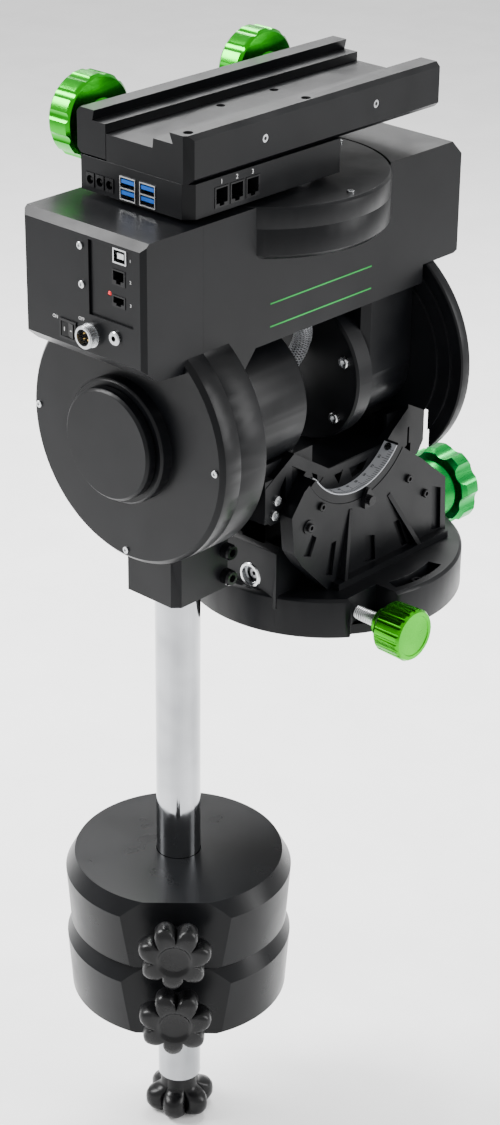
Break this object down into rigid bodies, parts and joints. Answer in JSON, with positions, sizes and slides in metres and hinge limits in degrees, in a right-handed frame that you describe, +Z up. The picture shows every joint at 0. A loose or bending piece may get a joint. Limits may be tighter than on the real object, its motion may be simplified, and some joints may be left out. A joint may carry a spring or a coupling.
{
  "type": "star tracker mount",
  "caption": "Centre-balanced motorised equatorial head on a round base, with a dovetail saddle on top and sliding counterweights below.",
  "frame": {"origin": "centre of the underside of the foot plate, at the mouth of the pier bolt hole", "axes": "+Z up; -Y towards the port panel and counterweights; +X towards the striped side with the latitude scale"},
  "size_m": [0.2498, 0.3614, 0.7735],
  "materials": {
    "black_casting": "satin powder coat",
    "black_cover": "satin powder coat",
    "black_bolt": "black oxide",
    "black_knob": "moulded",
    "black_plastic": "moulded",
    "iron_weight": "black enamel",
    "polished_steel": "polished",
    "plated_steel": "bright",
    "machine_steel": "ground",
    "bronze_wheel": "machined",
    "scale_metal": "satin",
    "motor_can": "satin",
    "led_lens": "clear",
    "sleeve_braid": "woven",
    "lime_knob": "anodised",
    "emerald_knob": "anodised",
    "green_knob": "anodised"
  },
  "bodies": {
    "foot": {"foot_plate": "black_casting", "azimuth_lock_screws": "black_bolt"},
    "azimuth_base": {"base_casting": "black_casting", "cheek_right": "black_casting", "cheek_left": "black_casting", "cheek_screws": "black_bolt", "altitude_screw_bush": "plated_steel", "scale_pointers": "black_bolt"},
    "azimuth_rod_right": {"azimuth_rod_right": "plated_steel"},
    "azimuth_rod_left": {"azimuth_rod_left": "plated_steel"},
    "azimuth_knob_right": {"azimuth_knob_right": "lime_knob"},
    "azimuth_knob_left": {"azimuth_knob_left": "lime_knob"},
    "altitude_screw": {"altitude_worm": "machine_steel", "altitude_knob": "emerald_knob"},
    "carriage": {"carriage_casting": "black_casting", "altitude_sector": "machine_steel", "latitude_scale": "scale_metal", "carriage_screws": "plated_steel", "ra_drum": "black_casting", "ra_rear_housing": "black_casting", "ra_motor": "motor_can"},
    "ra_worm": {"ra_worm": "machine_steel"},
    "yoke": {"yoke_casting": "black_casting", "front_cover": "black_cover", "cover_screws": "plated_steel", "port_plate": "black_cover", "usb_b_port": "plated_steel", "control_jacks": "black_plastic", "status_led": "led_lens", "power_inlet": "plated_steel", "snap_port": "plated_steel", "switch_frame": "black_plastic", "ra_axle": "machine_steel", "ra_worm_wheel": "bronze_wheel", "bearing_flange": "black_casting", "flange_screws": "plated_steel", "cable_sleeve": "sleeve_braid", "shaft_clamp": "black_casting", "shaft_clamp_bolts": "black_bolt", "counterweight_shaft": "polished_steel", "dec_cap": "black_casting", "dec_motor": "motor_can"},
    "power_rocker": {"power_rocker": "black_plastic"},
    "polar_cap": {"polar_cap": "black_cover"},
    "dec_worm": {"dec_worm": "machine_steel"},
    "counterweight_upper": {"counterweight_upper": "iron_weight"},
    "counterweight_lower": {"counterweight_lower": "iron_weight"},
    "lock_knob_upper": {"lock_knob_upper": "black_knob"},
    "lock_knob_lower": {"lock_knob_lower": "black_knob"},
    "toe_stop": {"toe_stop": "black_knob"},
    "saddle": {"dec_axle": "machine_steel", "dec_worm_wheel": "bronze_wheel", "saddle_plate": "black_casting", "electronics_box": "black_cover", "usb_shells": "plated_steel", "power_out_jacks": "black_plastic", "aux_jacks": "black_plastic"},
    "moving_jaw": {"moving_jaw": "black_casting"},
    "clamp_knob_front": {"clamp_knob_front": "green_knob"},
    "clamp_knob_rear": {"clamp_knob_rear": "green_knob"}
  },
  "joints": [
    {"name": "azimuth", "type": "hinge", "parent": "foot", "child": "azimuth_base", "pos_m": [0, 0, 0], "axis": [0, 0, 1], "range_deg": [-7, 7]},
    {"name": "azimuth_rod_right_travel", "type": "slide", "parent": "azimuth_base", "child": "azimuth_rod_right", "axis": [1, 0, 0], "range_m": [-0.0059, 0.0059]},
    {"name": "azimuth_rod_left_travel", "type": "slide", "parent": "azimuth_base", "child": "azimuth_rod_left", "axis": [1, 0, 0], "range_m": [-0.0059, 0.0059]},
    {"name": "azimuth_knob_right_turn", "type": "hinge", "parent": "azimuth_rod_right", "child": "azimuth_knob_right", "pos_m": [0.1, -0.048, 0.015], "axis": [1, 0, 0], "range_deg": [-1410, 1410]},
    {"name": "azimuth_knob_left_turn", "type": "hinge", "parent": "azimuth_rod_left", "child": "azimuth_knob_left", "pos_m": [-0.1, -0.048, 0.015], "axis": [1, 0, 0], "range_deg": [-1410, 1410]},
    {"name": "altitude", "type": "hinge", "parent": "azimuth_base", "child": "carriage", "pos_m": [0, -0.032, 0.147], "axis": [-1, 0, 0], "range_deg": [0, 25]},
    {"name": "altitude_screw_turn", "type": "hinge", "parent": "azimuth_base", "child": "altitude_screw", "pos_m": [0.014, 0, 0.038], "axis": [0, 1, 0], "range_deg": [-1, 3330]},
    {"name": "polar_axis", "type": "hinge", "parent": "carriage", "child": "yoke", "pos_m": [0, 0, 0.169], "axis": [0, 1, 0], "range_deg": [-66, 66]},
    {"name": "polar_worm_turn", "type": "hinge", "parent": "carriage", "child": "ra_worm", "pos_m": [0, 0.0435, 0.109], "axis": [1, 0, 0], "range_deg": [-7460, 7460]},
    {"name": "power_rocker_tilt", "type": "hinge", "parent": "yoke", "child": "power_rocker", "pos_m": [-0.01275, -0.226, 0.2487], "axis": [0, 0, 1], "range_deg": [-8, 8]},
    {"name": "polar_cap_off", "type": "slide", "parent": "yoke", "child": "polar_cap", "axis": [0, -1, 0], "range_m": [0, 0.03]},
    {"name": "declination_axis", "type": "hinge", "parent": "yoke", "child": "saddle", "pos_m": [0, -0.068, 0.299], "axis": [0, 0, 1], "continuous": true},
    {"name": "declination_worm_turn", "type": "hinge", "parent": "yoke", "child": "dec_worm", "pos_m": [0.0574, -0.068, 0.296], "axis": [0, 1, 0], "continuous": true},
    {"name": "counterweight_upper_slide", "type": "slide", "parent": "yoke", "child": "counterweight_upper", "axis": [0, 0, 1], "range_m": [0, 0.145]},
    {"name": "counterweight_lower_slide", "type": "slide", "parent": "yoke", "child": "counterweight_lower", "axis": [0, 0, 1], "range_m": [-0.085, 0]},
    {"name": "lock_knob_upper_turn", "type": "hinge", "parent": "counterweight_upper", "child": "lock_knob_upper", "pos_m": [0, -0.1483, -0.189], "axis": [0.6778, -0.7353, 0], "range_deg": [0, 720]},
    {"name": "lock_knob_lower_turn", "type": "hinge", "parent": "counterweight_lower", "child": "lock_knob_lower", "pos_m": [0, -0.1483, -0.244], "axis": [0.6778, -0.7353, 0], "range_deg": [0, 720]},
    {"name": "toe_stop_turn", "type": "hinge", "parent": "yoke", "child": "toe_stop", "pos_m": [0, -0.1483, -0.371], "axis": [0, 0, 1], "range_deg": [0, 2160]},
    {"name": "jaw_slide", "type": "slide", "parent": "saddle", "child": "moving_jaw", "axis": [-1, 0, 0], "range_m": [0, 0.012]},
    {"name": "clamp_knob_front_turn", "type": "hinge", "parent": "moving_jaw", "child": "clamp_knob_front", "pos_m": [-0.07, -0.154, 0.3565], "axis": [-1, 0, 0], "range_deg": [0, 2881]},
    {"name": "clamp_knob_rear_turn", "type": "hinge", "parent": "moving_jaw", "child": "clamp_knob_rear", "pos_m": [-0.07, 0, 0.3565], "axis": [-1, 0, 0], "range_deg": [0, 2881]}
  ],
  "couplings": [
    {"joint": "azimuth_rod_right_travel", "follows": "azimuth", "m_per_rad": -0.048},
    {"joint": "azimuth_rod_left_travel", "follows": "azimuth", "m_per_rad": -0.048},
    {"joint": "azimuth_knob_right_turn", "follows": "azimuth", "ratio": -201.06},
    {"joint": "azimuth_knob_left_turn", "follows": "azimuth", "ratio": -201.06},
    {"joint": "altitude_screw_turn", "follows": "altitude", "ratio": 133},
    {"joint": "polar_worm_turn", "follows": "polar_axis", "ratio": 113},
    {"joint": "declination_worm_turn", "follows": "declination_axis", "ratio": 109},
    {"joint": "clamp_knob_front_turn", "follows": "jaw_slide", "rad_per_m": 4188.8},
    {"joint": "clamp_knob_rear_turn", "follows": "jaw_slide", "rad_per_m": 4188.8}
  ]
}
